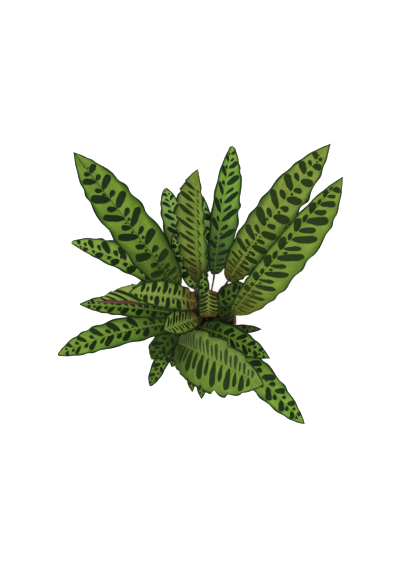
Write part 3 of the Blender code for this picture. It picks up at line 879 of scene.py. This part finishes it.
def stalkLine(leaf):
    # (point, radius, run) for each ring, from in the soil up to the neck
    rule = stalkRule
    foot = Vector((*leaf["foot"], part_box("soil")[1].z + rule["soilGap"]))
    neck = Vector(leaf["neck"])
    forward, _, _ = bladeAxes(leaf, 0)
    reach = (neck - foot).length
    # a thinner sheath where the next stalk comes up close by
    others = [other["foot"] for other in leaves.values() if other["foot"] != leaf["foot"]]
    nearest = min(math.dist(leaf["foot"], other) for other in others)
    footRadius = min(rule["footRadius"], nearest / 2 - rule["footGap"])
    first = foot + Vector((0, 0, rule["riseShare"] * reach))
    second = neck - forward * rule["approachShare"] * reach
    kneeLow, kneeFull, kneeEnd = rule["knee"]
    found = [(foot - Vector((0, 0, rule["footDepth"])), footRadius, rule["buriedRun"])]
    for i in range(rule["steps"] + 1):
        t = i / rule["steps"]
        point = (foot * (1 - t) ** 3 + first * 3 * t * (1 - t) ** 2
                 + second * 3 * t * t * (1 - t) + neck * t ** 3)
        radius = rule["radius"] + (footRadius - rule["radius"]) * (
            1 - smoothStep(0, rule["sheathHeight"] / reach, t))
        knee = smoothStep(1 - kneeLow * rule["kneeLength"] / reach,
                          1 - kneeFull * rule["kneeLength"] / reach, t)
        radius += (rule["kneeRadius"] - rule["radius"]) * knee * (
            1 - rule["kneeThinner"] * smoothStep(kneeEnd, 1, t))
        found.append((point, radius, t))
    return found


def ribLine(leaf):
    # the stalk's rings go on close under the blade, as its midrib
    rule = stalkRule
    stations = bladeStations(leaf, rule["ribRows"])
    fold = math.radians(leaf["fold"])
    found = []
    for i in range(1, rule["ribSteps"] + 1):
        share = i / rule["ribSteps"] * rule["ribEnd"]
        nearest = min(range(rule["ribRows"]), key=lambda row: abs(stations[row][0] - share))
        _, point, _, out, widths = stations[nearest]
        half = min(widths)
        radius = rule["radius"] + (rule["tipRadius"] - rule["radius"]) * share ** rule["ribPower"]
        radius = min(radius, half * rule["ribShare"])
        groove = bladeRule["groove"] * min(1, half / bladeRule["grooveFull"])
        drop = (radius + groove + rule["ribGap"]) * smoothStep(0, rule["ribEase"], share)
        found.append((point - out * drop / max(rule["leastCosine"], math.cos(fold)), radius, 1 + share))
    return found


def growStalk(name, leaf):
    line = stalkLine(leaf) + ribLine(leaf)
    bm = bmesh.new()
    runLayer = bm.verts.layers.float.new("run")
    bmesh.ops.create_circle(bm, cap_ends=False, segments=stalkRule["sides"], radius=1)
    ring = list(bm.edges)
    last = Matrix.Identity(4)
    turn = Matrix.Identity(3)
    ahead = Vector((0, 0, 1))
    for i, (point, radius, run) in enumerate(line):
        if i:
            grown = bmesh.ops.extrude_edge_only(bm, edges=ring)["geom"]
            ring = [g for g in grown if isinstance(g, bmesh.types.BMEdge) and all(
                v in grown for v in g.verts)]
            verts = [g for g in grown if isinstance(g, bmesh.types.BMVert)]
        else:
            verts = list(bm.verts)
        before, after = line[max(i - 1, 0)][0], line[min(i + 1, len(line) - 1)][0]
        forward = (after - before).normalized()
        turn = ahead.rotation_difference(forward).to_matrix() @ turn
        ahead = forward
        matrix = Matrix.Translation(point) @ turn.to_4x4() @ Matrix.Scale(radius, 4)
        bmesh.ops.transform(bm, matrix=matrix @ last.inverted(), verts=verts)
        for vertex in verts:
            vertex[runLayer] = run
        if i == 0:
            bmesh.ops.edgeloop_fill(bm, edges=ring)
        last = matrix
    bmesh.ops.edgeloop_fill(bm, edges=ring)
    bmesh.ops.recalc_face_normals(bm, faces=bm.faces)
    addPiece("stalk" + titled(name), bm, [wineStalk], ["stalk_" + name])


for count, (name, own) in enumerate(leaves.items()):
    leaf = {**plainLeaf, "seed": count + 1, **own}
    growBlade(name, leaf)
    growStalk(name, leaf)
print("leaves and stalks grown:", len(leaves))

# In metres. The bead and hem points are how far in from the rim and how far down from the top or
# up from the band's lower edge. ring is a moulded ring's half height at the wall and inside, and
# its depth. basePoints go on inward under the base.
potRule = dict(
    rim=0.060, height=0.108, base=0.042, wall=0.0018, band=0.018, step=0.0026, lip=0.0028, foot=0.003,
    beadPoints=((0.0002, 0.0050), (0.0007, 0.0054)), hemPoints=((0.0008, 0.0030), (0.0003, 0.0025)),
    ringHeights=(0.060, 0.057, 0.054), ring=(0.0006, 0.0003, 0.0004),
    basePoints=((0.034, 0), (0.033, 0.0005), (0.020, 0.0005), (0.019, 0), (0, 0)), segments=128,
    holes=8, holeRadius=0.004, holeCircle=0.026, holeSegments=32, cutDepth=0.012,
    edge=0.0004, edgeSegments=2, edgeAngle=25, soilBelowRim=0.011,
    bright=(0.43, 0.126, 0.040), deep=(0.34, 0.095, 0.032), deepBand=(0.3, 0.7),
    dust=(0.10, 0.06, 0.04), dustHeight=(0.085, 0.108, 0.0, 0.5), dustBand=(0.45, 0.7),
    speckle=(0.30, 0.08, 0.04), speckleShow=0.2, fine=1400.0, coarse=22.0,
    gloss=0.36, glossMottle=0.25, bump=dict(Strength=0.15, Distance=0.0002), shine=0.3)


def makeGrainGroup():
    # fine speckle and slow mottling, for the pot and the soil
    group, given, out = newGroup(
        "speckle", {"Vector": ["Vector"], "Float": ["Fine", "Coarse"]}, {"Float": ["Speckle", "Mottle"]})
    feed(group, out["Speckle"], noiseAt(group, given["Vector"], given["Fine"]))
    feed(group, out["Mottle"], noiseAt(group, given["Vector"], given["Coarse"], 4.0, 0.6))
    return group


grainGroup = makeGrainGroup()


def potLook(tree, rule):
    place = addNode(tree, "TexCoord", "Object")
    grain = useGroup(tree, grainGroup, Vector=place, Fine=rule["fine"], Coarse=rule["coarse"])
    mottle, height = grain["Mottle"], splitVector(tree, place)[2]
    dust = times(tree, ramp(tree, height, *rule["dustHeight"]), ramp(tree, mottle, *rule["dustBand"]))
    colour = layered(
        tree, rule["bright"], (ramp(tree, mottle, *rule["deepBand"]), rule["deep"]), (dust, rule["dust"]),
        (times(tree, grain["Speckle"], rule["speckleShow"]), rule["speckle"]))
    return colour, timesPlus(tree, mottle, rule["glossMottle"], rule["gloss"]), grain["Speckle"]


def wallRadius(height):
    rule = potRule
    return rule["base"] + (rule["rim"] - rule["step"] - rule["base"]) * height / rule["height"]


def turnProfile(profile, segments):
    # an outline from axis to axis, spun about Z
    bm = bmesh.new()
    verts = [bm.verts.new((radius, 0, height)) for radius, height in profile]
    edges = [bm.edges.new(pair) for pair in zip(verts, verts[1:])]
    bmesh.ops.spin(bm, geom=verts + edges, axis=(0, 0, 1), cent=(0, 0, 0), steps=segments,
                   angle=2 * math.pi, use_merge=True)
    bmesh.ops.remove_doubles(bm, verts=bm.verts, dist=0.00002)
    bmesh.ops.recalc_face_normals(bm, faces=bm.faces)
    return bm


def potProfile():
    # over the base inside, up the wall, round the rim, down the outside and back under the base
    rule = potRule
    rim, wall, foot, lip, top = rule["rim"], rule["wall"], rule["foot"], rule["lip"], rule["height"]
    band = top - rule["band"]
    innerTop = wallRadius(top) - wall
    profile = [(0, wall), (wallRadius(wall) - wall - foot, wall)]
    profile += [(wallRadius(wall + foot) - wall, wall + foot), (innerTop, top - lip)]
    profile += [(innerTop + lip / 4, top), (rim - lip / 4, top), (rim, top - lip / 4)]
    profile += [(rim - inward, top - down) for inward, down in rule["beadPoints"]]
    profile += [(rim - inward, band + up) for inward, up in rule["hemPoints"]]
    profile += [(rim - lip / 4, band), (wallRadius(band), band - rule["step"] / 2)]
    half, inner, depth = rule["ring"]
    for height in rule["ringHeights"]:
        profile += [(wallRadius(height + half), height + half), (wallRadius(height) - depth, height + inner)]
        profile += [(wallRadius(height) - depth, height - inner), (wallRadius(height - half), height - half)]
    profile += [(wallRadius(foot), foot), (wallRadius(0) - foot / 3, foot / 3), (wallRadius(0) - foot, 0)]
    return profile + list(rule["basePoints"])


def holeCutters():
    # upright cylinders where the drain holes go
    rule = potRule
    bm = bmesh.new()
    for i in range(rule["holes"]):
        angle = 2 * math.pi * i / rule["holes"]
        spot = Matrix.Translation((
            rule["holeCircle"] * math.cos(angle), rule["holeCircle"] * math.sin(angle), 0))
        bmesh.ops.create_cone(
            bm, cap_ends=True, segments=rule["holeSegments"], radius1=rule["holeRadius"],
            radius2=rule["holeRadius"], depth=rule["cutDepth"], matrix=spot)
    return addMesh("holeCutters", bm)


def makePot():
    rule = potRule
    bm = turnProfile(potProfile(), rule["segments"])
    plastic = newFinish("terracottaPlastic", potLook, rule)
    pot = addPiece("nurseryPot", bm, [plastic], ["pot"])
    cutter = holeCutters()
    cut = pot.modifiers.new("drainHoles", "BOOLEAN")
    cut.operation = "DIFFERENCE"
    cut.object = cutter
    soften = pot.modifiers.new("softEdges", "BEVEL")
    soften.width = rule["edge"]
    soften.segments = rule["edgeSegments"]
    soften.limit_method = "ANGLE"
    soften.angle_limit = math.radians(rule["edgeAngle"])
    settled = bpy.data.meshes.new_from_object(pot.evaluated_get(bpy.context.evaluated_depsgraph_get()))
    pot.modifiers.clear()
    pot.data = settled
    settled.name = "nurseryPot"
    bpy.data.objects.remove(cutter)


# What the soil's pieces share, in metres, or shares of a bit's size. lumps are the heights of the
# surface's noise and its scales.
soilRule = dict(
    gap=0.0003, rings=34, evenShare=0.99, segments=112, shoulder=0.002, middle=0.05, surface=0.001,
    settled=0.0012, lumps=((0.0016, 60), (0.0010, 190), (0.0006, 420)),
    seed=7, fromWall=0.004, clearance=1.5, sunk=0.0010, raised=0.3, tilt=0.5, turn=6.28,
    stretch=((0.7, 1.3), (0.5, 0.9), (0.7, 1.1)), rough=0.18,
    coarse=130.0, highBand=(0.3, 0.7), speckBrighter=2.2, speckBand=(0.5, 0.7, 0.0, 0.5),
    gloss=0.80, glossSpeckle=0.15,
    bump=dict(Strength=0.8, Distance=0.0006), shine=0.1)
soilFinishes = {
    "pottingSoil": dict(low=(0.010, 0.007, 0.004), high=(0.026, 0.018, 0.010), fine=700.0),
    "barkChips": dict(low=(0.030, 0.017, 0.009), high=(0.070, 0.040, 0.021), fine=500.0),
    "perliteGrains": dict(low=(0.34, 0.32, 0.28), high=(0.50, 0.48, 0.43), fine=500.0),
}
# What lies on the soil: how many bits, their least and greatest radius, and how flat they are.
bitKinds = {
    "soilCrumbs": dict(finish="pottingSoil", count=420, size=(0.0010, 0.0026), flat=0.7),
    "barkBits": dict(finish="barkChips", count=90, size=(0.0018, 0.0042), flat=0.35),
    "perliteBits": dict(finish="perliteGrains", count=46, size=(0.0010, 0.0020), flat=0.8),
}


def soilLook(tree, rule):
    place = addNode(tree, "TexCoord", "Object")
    grain = useGroup(tree, grainGroup, Vector=place, Fine=rule["fine"], Coarse=rule["coarse"])
    colour = layered(
        tree, rule["low"], (ramp(tree, grain["Mottle"], *rule["highBand"]), rule["high"]),
        (ramp(tree, grain["Speckle"], *rule["speckBand"]), [c * rule["speckBrighter"] for c in rule["high"]]))
    return colour, timesPlus(tree, grain["Speckle"], rule["glossSpeckle"], rule["gloss"]), grain["Speckle"]


def scatterBits(draw, kind, outer, top):
    rule, flat = soilRule, kind["flat"]
    feet = [Vector(leaf["foot"]) for leaf in leaves.values()]
    bits = bmesh.new()
    for _ in range(kind["count"]):
        size = draw.uniform(*kind["size"])
        radius = (outer - rule["fromWall"]) * math.sqrt(draw.random())
        angle = draw.uniform(0, 2 * math.pi)
        place = Vector((radius * math.cos(angle), radius * math.sin(angle)))
        # none lies where a stalk comes up
        clear = stalkRule["footRadius"] + rule["clearance"] * size
        if min((place - foot).length for foot in feet) < clear:
            continue
        spot = Matrix.Translation((*place, top - rule["sunk"] + size * flat * rule["raised"]))
        tilt = Matrix.Rotation(draw.uniform(-rule["tilt"], rule["tilt"]), 4, "X")
        turn = Matrix.Rotation(draw.uniform(0, rule["turn"]), 4, "Z")
        long, wide, thick = [draw.uniform(*limits) for limits in rule["stretch"]]
        stretch = Matrix.Diagonal((long, wide, flat * thick, 1))
        made = bmesh.ops.create_icosphere(
            bits, subdivisions=1, radius=size, matrix=spot @ (tilt @ turn) @ stretch)
        for vertex in made["verts"]:
            vertex.co += Vector([draw.uniform(-rule["rough"], rule["rough"]) * size for _ in range(3)])
    return bits


def makeSoil():
    rule = soilRule
    top = potRule["height"] - potRule["soilBelowRim"]
    side, foot = potRule["wall"] + rule["gap"], potRule["foot"]
    outer = wallRadius(top) - side
    profile = [(outer * rule["evenShare"] * i / rule["rings"], top) for i in range(rule["rings"] + 1)]
    profile += [(outer, top - rule["shoulder"]), (wallRadius(rule["middle"]) - side, rule["middle"])]
    profile += [(wallRadius(side + foot) - side, side + foot)]
    profile += [(wallRadius(side) - side - foot, side), (0, side)]
    bm = turnProfile(profile, rule["segments"])
    for vertex in bm.verts:
        if vertex.co.z > top - rule["surface"]:
            spot = vertex.co.copy()
            lumps = sum(height * noise.noise(spot * scale) for height, scale in rule["lumps"])
            vertex.co.z = top - rule["settled"] + lumps
    finishes = {name: newFinish(name, soilLook, {**rule, **own}) for name, own in soilFinishes.items()}
    addPiece("soilBed", bm, [finishes["pottingSoil"]], ["soil"])
    draw = random.Random(rule["seed"])
    for name, kind in bitKinds.items():
        bits = scatterBits(draw, kind, outer, top)
        addPiece(name, bits, [finishes[kind["finish"]]], [])


makePot()
makeSoil()
print("pot and soil made")
